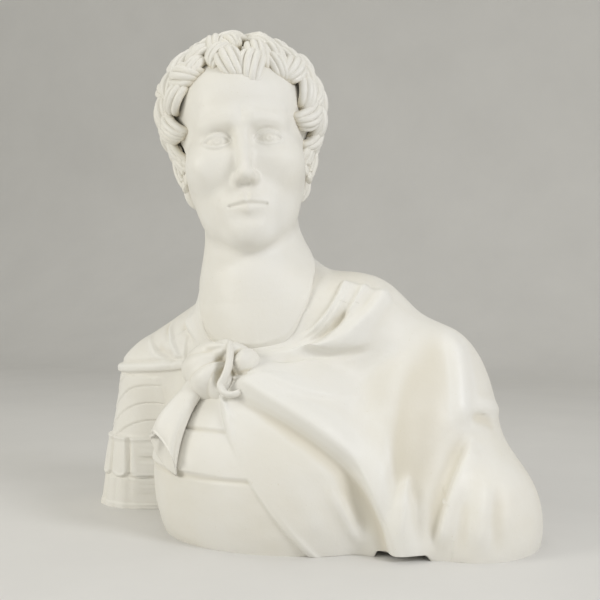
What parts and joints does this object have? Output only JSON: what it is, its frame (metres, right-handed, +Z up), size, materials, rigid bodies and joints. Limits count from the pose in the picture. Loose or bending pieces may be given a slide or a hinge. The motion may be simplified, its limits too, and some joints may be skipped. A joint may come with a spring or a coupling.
{
  "type": "marble bust",
  "caption": "Life-and-a-quarter bust of a curly-haired figure in armour and a knotted cloak, cast hollow in white marble plaster in six sections over a wooden frame",
  "frame": {"origin": "middle of the bounding box, on the plane that the rim stands on", "axes": "+Z up, the chest faces -Y, +X is the sitter's left"},
  "size_m": [0.689, 0.367, 0.6972],
  "materials": {
    "plaster_marble": "satin",
    "raw_plaster": "matte",
    "pine": "matte",
    "steel": "satin"
  },
  "bodies": {
    "root": {"head": "plaster_marble", "front_section": "plaster_marble", "back_section": "plaster_marble", "right_arm_section": "plaster_marble", "left_arm_section": "plaster_marble", "cloak_knot": "plaster_marble", "cloak_tail": "plaster_marble", "right_pad": "raw_plaster", "left_pad": "raw_plaster", "front_pad": "raw_plaster", "back_pad": "raw_plaster", "cross_batten": "pine", "depth_batten": "pine", "neck_post": "pine", "post_collar": "pine", "section_dowels": "steel", "cloth_pins": "steel", "screws": "steel"}
  },
  "joints": []
}
